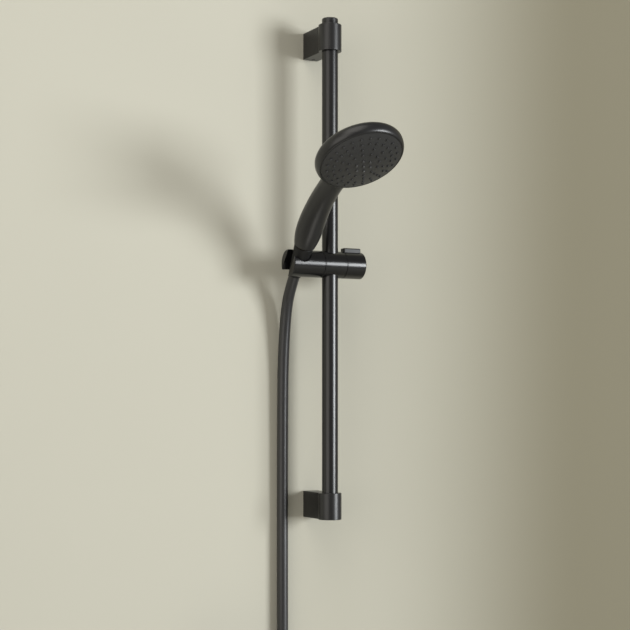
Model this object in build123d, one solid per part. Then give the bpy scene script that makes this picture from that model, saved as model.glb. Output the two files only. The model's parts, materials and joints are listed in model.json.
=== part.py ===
"""Hand shower set on a round slide rail, modelled piece by piece in millimetres.

Frame: the wall is the plane Y = 0 and the set stands out from it towards -Y, +Z is up.
The origin lies on the wall, midway between the two wall screws.
Slider pieces are drawn about the point where the slider's axis crosses the rail's axis,
shower pieces about the hose nut's axis, and head pieces about the middle of the spray face.
"""
from build123d import *
import math
import os

# Rail and wall brackets
SCREW_SPACING = 580.0
RAIL_R = 10.0
RAIL_WALL = 1.2
RAIL_OFFSET = 54.0
BRACKET_R = 14.3
BRACKET_WIDTH = 20.5
BRACKET_HEIGHT = 33.0
BRACKET_WALL = 2.3
BRACKET_FLOOR = 4.0
BRACKET_EDGE = 0.6
BASE_DEPTH = 16.0
BASE_CORNER = 2.0
WALL_SCREW_R = 2.75
SCREW_HEAD_R = 5.2
SCREW_HEAD_DEPTH = 4.0
GRUB_R = 2.0
GRUB_LENGTH = 6.0
GRUB_FROM_WALL = 8.0
GRUB_SUNK = 0.6
GRUB_KEY = 2.0
PLUG_ABOVE = 8.0
PLUG_CAP = 4.0
PLUG_EDGE = 1.5
PLUG_SPIGOT = 14.0
PLUG_WALL = 1.6

# Clearances
SEAT = 0.1
RUN = 0.05
GAP = 0.3

# Slider
SLIDER_Z = 9.4
SLIDER_R = 16.6
BODY_LEFT = -13.6
BODY_RIGHT = 16.3
END_SEAM = 0.4
END_RIGHT = 43.0
SLIDER_EDGE = 0.5
END_EDGE = 1.4
SWIVEL_LEFT = 60.0
SWIVEL_RIGHT = 30.0
SWIVEL_SPARE = 2.3
SPIGOT_R = 13.4
SPIGOT_LENGTH = 2.5
BUSH_R = 11.6
BUSH_HALF = 10.9
BOSS_R = 8.0
BOSS_LENGTH = 10.4
FRICTION_RING_R = 12.0
FRICTION_RING_THICK = 1.4

# Rail brake and its release key
SHOE_HALF = 4.8
SHOE_LEFT = 13.0
SHOE_RIGHT = 33.0
KEY_TRAVEL = 1.2
KEY_LEFT = 16.9
KEY_RIGHT = 41.0
KEY_DEPTH = 10.0
KEY_FLOOR = 15.6
KEY_TOP = 21.3
KEY_CORNER = 2.0
KEY_EDGE = 1.5
STEM_LEFT = 17.0
STEM_RAMP = 20.0
STEM_TIP = -2.0
STEM_DEPTH = 7.0
SPRING_THICK = 0.5
SPRING_END = 37.0
SPRING_FOOT = 4.6

# Cradle
CRADLE_X = -43.5
CRADLE_LEFT = -59.0
CRADLE_GAP = 0.4
CRADLE_EDGE = 1.2
JAW_LEFT = -56.6
MOUTH_EDGE = 1.2
CRADLE_WEB = 4.0
SLOT_WIDTH = 15.5
TILT = 38.0
ROLL = 2.9
SCREW_R = 2.0
SCREW_CAP_R = 4.2
SCREW_CAP = 3.0

# Hose nut and the handle's inlet, along the nut's axis
NUT_TOP = 25.1
NUT_BOTTOM = -17.0
NUT_TOP_R = 12.13
NUT_BOTTOM_R = 7.9
NUT_EDGE = 0.7
SOCKET_FLOOR = 13.0
THREAD_R = 10.1
INSERT_FLANGE = 1.5
INSERT_FLANGE_R = 9.6
INSERT_R = 5.2
INSERT_BORE = 3.8
WASHER_THICK = 2.0
WASHER_R = 9.6
WASHER_BORE = 4.8
INLET_R = 10.9
INLET_TOP = 40.0
INLET_BORE = 6.0
LIMITER_RISE = 2.0
LIMITER_THICK = 3.0
LIMITER_JET_R = 1.1
LIMITER_JETS = 5

# Handle, whose spine is straight at first and then an arc
HANDLE_FOOT = 26.3
FOOT_R = 13.0
FOOT_EDGE = 0.8
FOOT_RISE = 9.5
FOOT_RISE_R = 15.0
GRIP_STATIONS = ((0.0, 16.1), (0.25, 16.0), (0.5, 15.2), (0.72, 14.6))
GRIP_TOP_R = 13.9
SPINE_START = 46.0
SPINE_R = 190.0
SPINE_TURN = 20.8
TUBE_R = 7.4
TUBE_WALL = 1.6
TUBE_SEAT = 5.0

# Head
HEAD_R = 52.5
HEAD_REACH = 77.1
HEAD_STANDOFF = 21.3
RIM_FRONT = 8.7
RIM_BACK = 7.0
RIM_INWARD = 5.8
RIM_BACK_ANGLE = 63.0
NECK_FLARE = 16.2
NECK_DEPTH = 10.5
NECK_WIDTH = 13.5
TAIL_DEPTH = 5.0
TAIL_WIDTH = 9.0
CAVITY_R = 45.5
CAVITY_DEPTH = 11.5
CHAMBER_R = 39.0
CHAMBER_FLOOR_R = 14.0
CHAMBER_DEPTH = 18.0
PORT_Y = -32.0

# Spray face, domed outwards
FACE_R = 47.9
FACE_SEAM = 0.5
FACE_BULGE = 8.0
FACE_THICK = 2.4
FACE_EDGE = 3.0
MAT_THICK = 1.6
JET_DISC_R = 13.0
JET_DISC_BACK = -1.0
JET_SLEEVE = 1.0
NOZZLE_R = 1.5
NOZZLE_TIP_R = 1.0
NOZZLE_PROUD = 1.4
NOZZLE_RINGS = ((24, 41.7), (24, 34.6), (12, 27.0), (12, 19.2))
NOZZLE_TURN = -3.0
JET_RING_R = 9.2
JET_RING_COUNT = 6
STUB_R = 4.0
STUB_GROOVE = 0.8
CLIP_R = 6.0
CLIP_THICK = 0.8
DISC_THICK = 3.0
DISC_HUB_R = 8.0
DISC_PORT_R = 4.0
DISC_PORT_RING = 24.0
DISC_PORTS = 6
SEAL_R = 1.1

# Hose, which hangs in the plane X = CRADLE_X and ends in a tied coil below the rail
HOSE_R = 7.0
HOSE_EXIT_RUN = 26.0
HOSE_POINTS = ((-18.5, -49.5), (-12.3, -88.5))
HOSE_HANG = -8.3
HOSE_HANG_TOP = -150.0
COIL_Z = -547.0
BEND_SHARE = 0.45
COIL_R = 71.5
COIL_TURNS = 2
COIL_PITCH = 15.0
COIL_STUB = 50.0
COIL_SLACK = 0.4
COIL_CORNER = 6.3
TIE_WIDTH = 8.0
TIE_THICK = 0.6
FERRULE_R = 7.9
FERRULE_LENGTH = 20.0
NECK_R = 5.5
COLLAR_R = 8.6
COLLAR_THICK = 3.0
COLLAR_DROP = 12.0
SUPPLY_FLATS = 24.0
SUPPLY_TOP_WALL = 5.0
SUPPLY_THREAD_R = 9.4
SUPPLY_THREAD_LENGTH = 10.0
SUPPLY_RELIEF_R = 9.9
SUPPLY_LIFT = 2.0

# Frames
SLIDER = Pos(0, -RAIL_OFFSET, SLIDER_Z)
NUT_AXIS = Pos(CRADLE_X, 0, 0) * Rot(TILT, 0, 0)
SHOWER = SLIDER * NUT_AXIS * Rot(0, 0, ROLL)
TURN = math.radians(SPINE_TURN)
SPINE_END = Vector(0, -SPINE_R * (1 - math.cos(TURN)), SPINE_START + SPINE_R * math.sin(TURN))
NECK = Pos(*SPINE_END) * Rot(90 + SPINE_TURN, 0, 0)
HEAD = NECK * Pos(0, HEAD_REACH, HEAD_STANDOFF)


def cylinder_z(radius, low, high):
    """Round bar along Z between two heights."""
    return extrude(Pos(0, 0, low) * Circle(radius), high - low)


def cylinder_x(radius, left, right):
    """Round bar along X between two stations."""
    return extrude(Plane.YZ.offset(left) * Circle(radius), right - left)


def ring_z(outer, inner, low, high):
    """Round tube along Z between two heights."""
    return extrude(Pos(0, 0, low) * (Circle(outer) - Circle(inner)), high - low)


def box_between(low, high):
    """Box between two opposite corners."""
    size = [b - a for a, b in zip(low, high)]
    middle = [(a + b) / 2 for a, b in zip(low, high)]
    return Pos(*middle) * Box(*size)


def revolved(points, arc=360.0):
    """Solid turned about Z from radius and height pairs, through an arc that starts at X."""
    profile = make_face(Polyline(*[(r, 0, z) for r, z in points], close=True))
    return revolve(profile, Axis.Z, revolution_arc=arc)


def bracket_block(width, height, depth, corner):
    """Rounded block that reaches from the wall out to a depth."""
    return extrude(Plane.XZ * RectangleRounded(width, height, corner), depth)


def wall_bracket(bore_low):
    """Cast bracket about its own middle height: barrel, arm, rail bore and a pocket for the base."""
    half = BRACKET_HEIGHT / 2
    barrel = Pos(0, -RAIL_OFFSET, 0) * cylinder_z(BRACKET_R, -half, half)
    arm = box_between((-BRACKET_WIDTH / 2, -RAIL_OFFSET, -half), (BRACKET_WIDTH / 2, 0, half))
    body = barrel + arm
    rims = body.edges().filter_by(lambda e: abs(abs(e.center().Z) - half) < SEAT and e.center().Y < -SEAT)
    body = fillet(rims, BRACKET_EDGE)
    bore = Pos(0, -RAIL_OFFSET, 0) * cylinder_z(RAIL_R + RUN, bore_low, half)
    pocket = bracket_block(
        BRACKET_WIDTH - 2 * BRACKET_WALL,
        BRACKET_HEIGHT - 2 * BRACKET_WALL,
        BASE_DEPTH + SEAT,
        BASE_CORNER + SEAT,
    )
    grub_hole = Pos(0, -GRUB_FROM_WALL, 0) * cylinder_z(GRUB_R + RUN, -half, 0)
    return body - bore - pocket - grub_hole


def wall_base():
    """Base that is screwed to the wall and carries the bracket in its pocket."""
    block = bracket_block(
        BRACKET_WIDTH - 2 * BRACKET_WALL - 2 * SEAT,
        BRACKET_HEIGHT - 2 * BRACKET_WALL - 2 * SEAT,
        BASE_DEPTH,
        BASE_CORNER,
    )
    hole = extrude(Plane.XZ * Circle(WALL_SCREW_R), BASE_DEPTH)
    head_floor = BASE_DEPTH - SCREW_HEAD_DEPTH
    head_room = extrude(Plane.XZ.offset(head_floor) * Circle(SCREW_HEAD_R), SCREW_HEAD_DEPTH)
    half = BRACKET_HEIGHT / 2
    tip = -half + GRUB_SUNK + GRUB_LENGTH + SEAT
    grub_hole = Pos(0, -GRUB_FROM_WALL, 0) * cylinder_z(GRUB_R + RUN, -half, tip)
    return block - hole - head_room - grub_hole


def grub_screw():
    """Headless screw that locks the bracket to its base from below."""
    low = -BRACKET_HEIGHT / 2 + GRUB_SUNK
    screw = cylinder_z(GRUB_R, low, low + GRUB_LENGTH)
    key = extrude(Pos(0, 0, low) * RegularPolygon(GRUB_KEY / 2, 6, major_radius=False), GRUB_LENGTH / 2)
    return Pos(0, -GRUB_FROM_WALL, 0) * (screw - key)


def rail_top():
    """Height of the top of the rail's end plug."""
    return SCREW_SPACING / 2 + BRACKET_HEIGHT / 2 + PLUG_ABOVE


def rail_tube():
    """Round tube from the lower bracket's floor to the end plug."""
    low = -SCREW_SPACING / 2 - BRACKET_HEIGHT / 2 + BRACKET_FLOOR
    return Pos(0, -RAIL_OFFSET, 0) * ring_z(RAIL_R, RAIL_R - RAIL_WALL, low, rail_top() - PLUG_CAP)


def rail_top_plug():
    """Plug with a rounded cap, pushed into the top of the rail."""
    cap_low = rail_top() - PLUG_CAP
    cap = cylinder_z(RAIL_R, cap_low, rail_top())
    cap = fillet(cap.edges().group_by(Axis.Z)[-1], PLUG_EDGE)
    spigot_r = RAIL_R - RAIL_WALL - RUN
    spigot = ring_z(spigot_r, spigot_r - PLUG_WALL, cap_low - PLUG_SPIGOT, cap_low)
    return Pos(0, -RAIL_OFFSET, 0) * (cap + spigot)


def glide_bush():
    """Plastic liner between rail and slider, with a window in which the brake pad swings."""
    bush = ring_z(BUSH_R, RAIL_R + RUN, -BUSH_HALF, BUSH_HALF)
    half = SHOE_HALF + GAP
    beside = math.degrees(math.asin(SHOE_HALF / RAIL_R)) + SWIVEL_SPARE
    corners = ((RAIL_R - RAIL_WALL, -half), (2 * BUSH_R, -half), (2 * BUSH_R, half), (RAIL_R - RAIL_WALL, half))
    window = revolved(corners, SWIVEL_LEFT + SWIVEL_RIGHT + 2 * beside)
    return bush - Rot(0, 0, -SWIVEL_RIGHT - beside) * window


def shoe_channel(left, right):
    """Room in which the brake shoe slides."""
    half = SHOE_HALF + SEAT
    return box_between((left, -half, -half), (right, half, half))


def slider_body():
    """Middle of the slider: rail bore, bush pocket, brake channel and the boss that the cradle tilts on."""
    body = cylinder_x(SLIDER_R, BODY_LEFT, BODY_RIGHT)
    body = fillet(body.edges().filter_by(GeomType.CIRCLE), SLIDER_EDGE)
    boss = cylinder_x(BOSS_R, BODY_LEFT - BOSS_LENGTH, BODY_LEFT)
    lips = cylinder_z(RAIL_R + GAP, -SLIDER_R, SLIDER_R)
    pocket = cylinder_z(BUSH_R + RUN, -BUSH_HALF - SEAT, BUSH_HALF + SEAT)
    recess = cylinder_x(SPIGOT_R + SEAT, BODY_RIGHT - SPIGOT_LENGTH - SEAT, BODY_RIGHT)
    thread = cylinder_x(SCREW_R + RUN, BODY_LEFT - BOSS_LENGTH, BODY_LEFT - SEAT)
    return body + boss - lips - pocket - recess - thread - shoe_channel(0, BODY_RIGHT)


def slider_end():
    """Right end of the slider: closed barrel with the shoe's channel, key slot and a spigot into the middle."""
    barrel = cylinder_x(SLIDER_R, BODY_RIGHT + END_SEAM, END_RIGHT)
    rims = barrel.edges().filter_by(GeomType.CIRCLE).sort_by(Axis.X)
    barrel = fillet(rims[0], SLIDER_EDGE)
    barrel = fillet(barrel.edges().filter_by(GeomType.CIRCLE).sort_by(Axis.X)[-1], END_EDGE)
    spigot = cylinder_x(SPIGOT_R, BODY_RIGHT - SPIGOT_LENGTH, BODY_RIGHT + END_SEAM)
    half = STEM_DEPTH / 2 + SEAT
    stem_right = STEM_RAMP + SHOE_HALF
    slot = box_between((STEM_LEFT - SEAT, -half, 0), (stem_right + SEAT, half, SLIDER_R))
    side = KEY_DEPTH / 2 + GAP
    key_low = KEY_FLOOR - KEY_TRAVEL - GAP
    key_room = box_between((BODY_RIGHT, -side, key_low), (KEY_RIGHT + GAP, side, SLIDER_R))
    return barrel + spigot - shoe_channel(BODY_RIGHT - SPIGOT_LENGTH, SPRING_END) - slot - key_room


def release_key():
    """Key sunk in the slider's end, with a wedge that pulls the brake shoe off the rail when pressed."""
    length = KEY_RIGHT - KEY_LEFT
    middle = (KEY_LEFT + KEY_RIGHT) / 2
    outline = RectangleRounded(length, KEY_DEPTH, KEY_CORNER)
    bar = extrude(Pos(middle, 0, KEY_FLOOR) * outline, KEY_TOP - KEY_FLOOR)
    bar = fillet(bar.edges().group_by(Axis.Z)[-1], KEY_EDGE)
    right = STEM_RAMP + SHOE_HALF
    wedge = (
        (STEM_LEFT, 0, STEM_TIP),
        (STEM_RAMP + STEM_TIP, 0, STEM_TIP),
        (right, 0, SHOE_HALF),
        (right, 0, KEY_FLOOR),
        (STEM_LEFT, 0, KEY_FLOOR),
    )
    stem = extrude(make_face(Polyline(*wedge, close=True)), STEM_DEPTH / 2, both=True)
    return bar + stem


def brake_shoe():
    """Block that carries the pad, with a ramped window for the key's wedge."""
    shoe = box_between((SHOE_LEFT, -SHOE_HALF, -SHOE_HALF), (SHOE_RIGHT, SHOE_HALF, SHOE_HALF))
    floor = STEM_TIP - KEY_TRAVEL - GAP
    left = STEM_LEFT - KEY_TRAVEL - GAP
    outline = (
        (left, 0, floor),
        (STEM_RAMP + floor + SEAT, 0, floor),
        (STEM_RAMP + SHOE_HALF + SEAT, 0, SHOE_HALF),
        (left, 0, SHOE_HALF),
    )
    half = STEM_DEPTH / 2 + SEAT
    window = extrude(make_face(Polyline(*outline, close=True)), half, both=True)
    return shoe - window


def brake_pad():
    """Rubber pad hollowed to the rail."""
    pad = box_between((0, -SHOE_HALF, -SHOE_HALF), (SHOE_LEFT, SHOE_HALF, SHOE_HALF))
    return pad - cylinder_z(RAIL_R + RUN, -SLIDER_R, SLIDER_R)


def brake_spring():
    """Bowed leaf spring that presses the shoe on the rail."""
    crest = SHOE_RIGHT + SEAT
    foot = SPRING_END - SEAT
    outer = ThreePointArc((foot, -SPRING_FOOT), (crest, 0), (foot, SPRING_FOOT))
    inner = ThreePointArc(
        (foot, SPRING_FOOT - SPRING_THICK),
        (crest + SPRING_THICK, 0),
        (foot, SPRING_THICK - SPRING_FOOT),
    )
    joins = [Line(outer @ 1, inner @ 0), Line(inner @ 1, outer @ 0)]
    leaf = make_face([outer, inner] + joins)
    return extrude(leaf, SHOE_HALF - SEAT, both=True)


def nut_radius(station):
    """Radius of the cone nut at a station along its axis."""
    share = (station - NUT_BOTTOM) / (NUT_TOP - NUT_BOTTOM)
    return NUT_BOTTOM_R + share * (NUT_TOP_R - NUT_BOTTOM_R)


def cone_space():
    """Room for the cone nut in the cradle, in the shower's frame."""
    low = -2 * SLIDER_R
    high = 2 * SLIDER_R
    return revolved(((0, low), (nut_radius(low) + SEAT, low), (nut_radius(high) + SEAT, high), (0, high)))


def cradle_barrel(left):
    """Round body of the cradle with rounded ends."""
    barrel = cylinder_x(SLIDER_R, left, BODY_LEFT - CRADLE_GAP)
    barrel = fillet(barrel.edges().filter_by(GeomType.CIRCLE).sort_by(Axis.X)[0], CRADLE_EDGE)
    return fillet(barrel.edges().filter_by(GeomType.CIRCLE).sort_by(Axis.X)[-1], SLIDER_EDGE)


def cradle():
    """Left end of the slider: two jaws round a tilted cone for the nut, with a slot that lets the hose in."""
    right = BODY_LEFT - CRADLE_GAP
    far = 2 * SLIDER_R
    front = NUT_AXIS * box_between((-far, -far, -far), (0, 0, far))
    barrel = cradle_barrel(CRADLE_LEFT) - (front - cradle_barrel(JAW_LEFT))
    socket = cylinder_x(BOSS_R + SEAT, BODY_LEFT - BOSS_LENGTH - SEAT, right)
    ring_room = cylinder_x(FRICTION_RING_R + GAP, BODY_LEFT - FRICTION_RING_THICK - GAP, right)
    web_left = BODY_LEFT - BOSS_LENGTH - SEAT - CRADLE_WEB
    screw_hole = cylinder_x(SCREW_R + GAP, web_left, right)
    cap_room = cylinder_x(SCREW_CAP_R + GAP, CRADLE_X, web_left)
    mouth = CRADLE_LEFT - CRADLE_X - SEAT
    slot = box_between((mouth, -SLOT_WIDTH / 2, -far), (0, SLOT_WIDTH / 2, far))
    body = barrel - socket - ring_room - screw_hole - cap_room - NUT_AXIS * (cone_space() + slot)
    nut_line = Axis(NUT_AXIS.position, Vector(0, 0, 1).rotate(Axis.X, TILT))
    return fillet(body.edges().sort_by(nut_line)[-1], MOUTH_EDGE)


def cradle_screw():
    """Screw along the slider's axis that holds the cradle on its boss."""
    seat = BODY_LEFT - BOSS_LENGTH - SEAT - CRADLE_WEB
    shank = cylinder_x(SCREW_R, seat, BODY_LEFT - 2 * SEAT)
    cap = cylinder_x(SCREW_CAP_R, seat - SCREW_CAP, seat - SEAT)
    neck = cylinder_x(SCREW_R, seat - SEAT, seat)
    key = extrude(Plane.YZ.offset(seat - SCREW_CAP) * RegularPolygon(SCREW_R, 6), SCREW_CAP / 2)
    return shank + neck + cap - key


def friction_ring():
    """Ring that holds the cradle at its tilt."""
    left = BODY_LEFT - FRICTION_RING_THICK
    return cylinder_x(FRICTION_RING_R, left, BODY_LEFT) - cylinder_x(BOSS_R + RUN, left, BODY_LEFT)


def hose_cone_nut():
    """Smooth cone nut that sits in the cradle and screws onto the handle."""
    cone = revolved(((0, NUT_BOTTOM), (NUT_BOTTOM_R, NUT_BOTTOM), (NUT_TOP_R, NUT_TOP), (0, NUT_TOP)))
    cone = fillet(cone.edges().filter_by(GeomType.CIRCLE).sort_by(Axis.Z)[-1], NUT_EDGE)
    socket = cylinder_z(THREAD_R + SEAT, SOCKET_FLOOR, NUT_TOP)
    bore = cylinder_z(INSERT_R + SEAT, NUT_BOTTOM, SOCKET_FLOOR)
    return cone - socket - bore


def hose_insert():
    """Tail of the hose inside the cone nut, with a flange for the washer."""
    flange = cylinder_z(INSERT_FLANGE_R, SOCKET_FLOOR, SOCKET_FLOOR + INSERT_FLANGE)
    tail = cylinder_z(INSERT_R, NUT_BOTTOM, SOCKET_FLOOR)
    return flange + tail - cylinder_z(INSERT_BORE, NUT_BOTTOM, SOCKET_FLOOR + INSERT_FLANGE)


def washer_low():
    """Station of the inlet washer's lower face."""
    return SOCKET_FLOOR + INSERT_FLANGE


def inlet_washer():
    """Rubber washer between the hose's tail and the handle's thread."""
    return ring_z(WASHER_R, WASHER_BORE, washer_low(), washer_low() + WASHER_THICK)


def thread_spigot():
    """Threaded inlet that is fixed in the foot of the handle."""
    foot = washer_low() + WASHER_THICK
    spigot = cylinder_z(THREAD_R, foot, HANDLE_FOOT) + cylinder_z(INLET_R, HANDLE_FOOT, INLET_TOP)
    tube_room = cylinder_z(TUBE_R + SEAT, INLET_TOP - TUBE_SEAT, INLET_TOP)
    return spigot - cylinder_z(INLET_BORE, foot, INLET_TOP) - tube_room


def flow_limiter():
    """Disc with small jets that limits the flow into the handle."""
    low = washer_low() + WASHER_THICK + LIMITER_RISE
    disc = cylinder_z(INLET_BORE - RUN, low, low + LIMITER_THICK)
    jets = Sketch() + ring_points(LIMITER_JETS, INLET_BORE / 2, 0) * Circle(LIMITER_JET_R)
    return disc - extrude(Pos(0, 0, low) * jets, LIMITER_THICK)


def spine_path(low, past):
    """Centre line of the handle from a station on its straight foot to a distance past the arc."""
    foot = Line((0, 0, low), (0, 0, SPINE_START))
    half = TURN / 2
    middle = (0, -SPINE_R * (1 - math.cos(half)), SPINE_START + SPINE_R * math.sin(half))
    bend = ThreePointArc((0, 0, SPINE_START), middle, SPINE_END)
    end = SPINE_END + Vector(0, -math.sin(TURN), math.cos(TURN)) * past
    return Wire([foot.edge(), bend.edge(), Line(SPINE_END, end).edge()])


def swept_tube(radius, low, past):
    """Round bar along the handle's centre line."""
    return sweep(Pos(0, 0, low) * Circle(radius), path=spine_path(low, past))


def bend_location(share):
    """Place on the spine's arc, with Z along the spine."""
    angle = TURN * share
    point = Vector(0, -SPINE_R * (1 - math.cos(angle)), SPINE_START + SPINE_R * math.sin(angle))
    return Pos(*point) * Rot(math.degrees(angle), 0, 0)


def handle_grip():
    """Handle's outer form, lofted from its foot along the spine and fading into the back of the head."""
    rim_rise = HEAD_REACH - HEAD_R
    ending = bend_location(1)
    sections = [
        Pos(0, 0, HANDLE_FOOT) * Circle(FOOT_R),
        Pos(0, 0, HANDLE_FOOT + FOOT_RISE) * Circle(FOOT_RISE_R),
    ]
    sections += [bend_location(share) * Circle(radius) for share, radius in GRIP_STATIONS]
    sections += [
        ending * Circle(GRIP_TOP_R),
        ending * Pos(0, 0, rim_rise) * Ellipse(NECK_FLARE, GRIP_TOP_R),
        ending * Pos(0, NECK_DEPTH - NECK_WIDTH, rim_rise + HEAD_R / 2) * Ellipse(NECK_WIDTH, NECK_DEPTH),
        ending * Pos(0, TAIL_DEPTH - TAIL_WIDTH, HEAD_REACH) * Ellipse(TAIL_WIDTH, TAIL_DEPTH),
    ]
    grip = loft(sections)
    return fillet(grip.edges().group_by(Axis.Z)[0], FOOT_EDGE)


def head_outside():
    """Outer form of the head: rounded rim that leads into a domed back, in the head's frame."""
    seam = FACE_R + FACE_SEAM
    front = EllipticalCenterArc((seam, -RIM_FRONT), HEAD_R - seam, RIM_FRONT, start_angle=0, arc_size=90)
    back_middle = (HEAD_R - RIM_INWARD, -RIM_FRONT)
    back = EllipticalCenterArc(
        back_middle,
        RIM_INWARD,
        RIM_BACK,
        start_angle=360 - RIM_BACK_ANGLE,
        arc_size=RIM_BACK_ANGLE,
    )
    join = back @ 0
    slope = RIM_BACK / RIM_INWARD / math.tan(math.radians(RIM_BACK_ANGLE))
    dome_r = join.X * math.sqrt(1 + 1 / slope**2)
    dome_middle = join.Y + math.sqrt(dome_r**2 - join.X**2)
    half_angle = math.asin(join.X / dome_r) / 2
    halfway = (dome_r * math.sin(half_angle), dome_middle - dome_r * math.cos(half_angle))
    pole = (0, dome_middle - dome_r)
    dome = ThreePointArc(join, halfway, pole)
    rest = Polyline(pole, (0, 0), front @ 1)
    return revolve(Plane.XZ * make_face([front, back, dome, rest]), Axis.Z)


def head_inside():
    """Hollow of the head: room for the face, a seat for the chamber disc and the water chamber."""
    face_room = -FACE_EDGE - GAP
    return revolved(
        (
            (0, 0),
            (FACE_R + FACE_SEAM, 0),
            (FACE_R + FACE_SEAM, face_room),
            (CAVITY_R, face_room),
            (CAVITY_R, -CAVITY_DEPTH),
            (CHAMBER_R, -CAVITY_DEPTH),
            (CHAMBER_FLOOR_R, -CHAMBER_DEPTH),
            (0, -CHAMBER_DEPTH),
        )
    )


def handle_shell():
    """Body of the hand shower: handle and head in one moulding, in the shower's frame."""
    outside = handle_grip() + HEAD * head_outside()
    inlet = cylinder_z(INLET_R + SEAT, HANDLE_FOOT, INLET_TOP + SEAT)
    waterway = swept_tube(TUBE_R + SEAT, INLET_TOP, HEAD_REACH + PORT_Y)
    port = Pos(0, PORT_Y, 0) * cylinder_z(TUBE_R - TUBE_WALL, -HEAD_STANDOFF, -CAVITY_DEPTH)
    return outside - inlet - waterway - HEAD * (head_inside() + port)


def water_tube():
    """Inner tube that leads the water from the inlet towards the head."""
    past = HEAD_REACH - HEAD_R
    low = INLET_TOP - TUBE_SEAT
    return swept_tube(TUBE_R, low, past) - swept_tube(TUBE_R - TUBE_WALL, low, past)


def ring_points(count, radius, start):
    """Evenly spaced places on a ring."""
    return PolarLocations(radius, count, start_angle=start)


def nozzle_points():
    """Places of all rain nozzles, with the radius of their ring."""
    return [
        (spot, radius)
        for count, radius in NOZZLE_RINGS
        for spot in ring_points(count, radius, NOZZLE_TURN)
    ]


def jet_points():
    """Places of the ring of jets round the middle one, with the radius of the ring."""
    return [(spot, JET_RING_R) for spot in ring_points(JET_RING_COUNT, JET_RING_R, NOZZLE_TURN)]


def dome_radius():
    """Radius of the sphere that the face's outside belongs to."""
    return (FACE_R**2 + FACE_BULGE**2) / (2 * FACE_BULGE)


def face_height(radius, depth=0.0):
    """Height of the face's dome at a radius, or of a sphere that lies a depth below it."""
    sphere = dome_radius() - depth
    return math.sqrt(sphere**2 - radius**2) + FACE_BULGE - dome_radius()


def dome_ring(depth, inner, outer, low):
    """Ring under a sphere that lies a depth below the face's outside, with a flat back."""
    arc = ThreePointArc(*[(r, 0, face_height(r, depth)) for r in (inner, (inner + outer) / 2, outer)])
    rest = Polyline(arc @ 1, (outer, 0, low), (inner, 0, low), arc @ 0)
    return revolve(make_face([arc, rest]), Axis.Z)


def nozzle_tip(spot, radius, low):
    """Tapered nozzle that starts at a low height and passes through the plate."""
    high = face_height(radius) + NOZZLE_PROUD
    return spot * Pos(0, 0, (low + high) / 2) * Cone(NOZZLE_R, NOZZLE_TIP_R, high - low)


def spray_plate():
    """Domed face plate with a hole for each nozzle and jet."""
    hole_r = NOZZLE_R + SEAT
    plate = dome_ring(0, hole_r, FACE_R, -FACE_EDGE)
    plate -= dome_ring(FACE_THICK, hole_r, FACE_R - FACE_THICK, -FACE_EDGE)
    hole = cylinder_z(hole_r, -FACE_EDGE, FACE_BULGE)
    return plate - [spot * hole for spot, radius in nozzle_points() + jet_points()]


def nozzle_mat():
    """Rubber mat behind the plate, with the nozzle tips that pass through it."""
    inner = JET_DISC_R + SEAT
    outer = CAVITY_R - GAP
    low = face_height(outer, FACE_THICK + 2 * MAT_THICK)
    sheet = dome_ring(FACE_THICK, inner, outer, low) - dome_ring(FACE_THICK + MAT_THICK, inner, outer, low)
    root = FACE_THICK + MAT_THICK / 2
    return sheet + [nozzle_tip(spot, r, face_height(r, root)) for spot, r in nozzle_points()]


def jet_insert():
    """Disc of jets in the middle of the face, and the grooved stub that the face turns on."""
    stub_end = -CAVITY_DEPTH - 2 * SEAT - CLIP_THICK - STUB_GROOVE
    stub = revolved(
        (
            (0, stub_end),
            (STUB_R, stub_end),
            (STUB_R, face_height(STUB_R, FACE_THICK)),
            (NOZZLE_R, face_height(NOZZLE_R, FACE_THICK)),
            (NOZZLE_TIP_R, face_height(0) + NOZZLE_PROUD),
            (0, face_height(0) + NOZZLE_PROUD),
        )
    )
    groove_low = stub_end + STUB_GROOVE
    stub -= ring_z(STUB_R, STUB_R - STUB_GROOVE, groove_low, groove_low + CLIP_THICK)
    disc = dome_ring(FACE_THICK, STUB_R, JET_DISC_R, JET_DISC_BACK)
    jet_back = JET_DISC_BACK - JET_SLEEVE
    return stub + disc + [nozzle_tip(spot, radius, jet_back) for spot, radius in jet_points()]


def face_clip():
    """Open clip in the stub's groove that keeps the face in the head."""
    low = -CAVITY_DEPTH - 2 * SEAT - CLIP_THICK
    ring = ring_z(CLIP_R, STUB_R - STUB_GROOVE + RUN, low + RUN, low + CLIP_THICK - RUN)
    return ring - box_between((0, -STUB_R / 2, low), (CLIP_R, STUB_R / 2, low + CLIP_THICK))


def chamber_disc():
    """Fixed disc that shares the water between rain and jet, with a hub for the face's stub."""
    low = -CAVITY_DEPTH
    disc = cylinder_z(CAVITY_R - RUN, low, low + DISC_THICK)
    hub = cylinder_z(DISC_HUB_R, low, JET_DISC_BACK - JET_SLEEVE - GAP)
    bore = cylinder_z(STUB_R + RUN, low, 0)
    ports = Sketch() + ring_points(DISC_PORTS, DISC_PORT_RING, 0) * Circle(DISC_PORT_R)
    ports = extrude(Pos(0, 0, low) * ports, DISC_THICK)
    middle = low + DISC_THICK / 2
    groove = ring_z(CAVITY_R, CAVITY_R - 2 * SEAL_R - SEAT, middle - SEAL_R - SEAT, middle + SEAL_R + SEAT)
    return disc + hub - bore - ports - groove


def chamber_seal():
    """Seal ring in the edge of the chamber disc."""
    return Pos(0, 0, -CAVITY_DEPTH + DISC_THICK / 2) * Torus(CAVITY_R - SEAL_R - RUN, SEAL_R)


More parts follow.
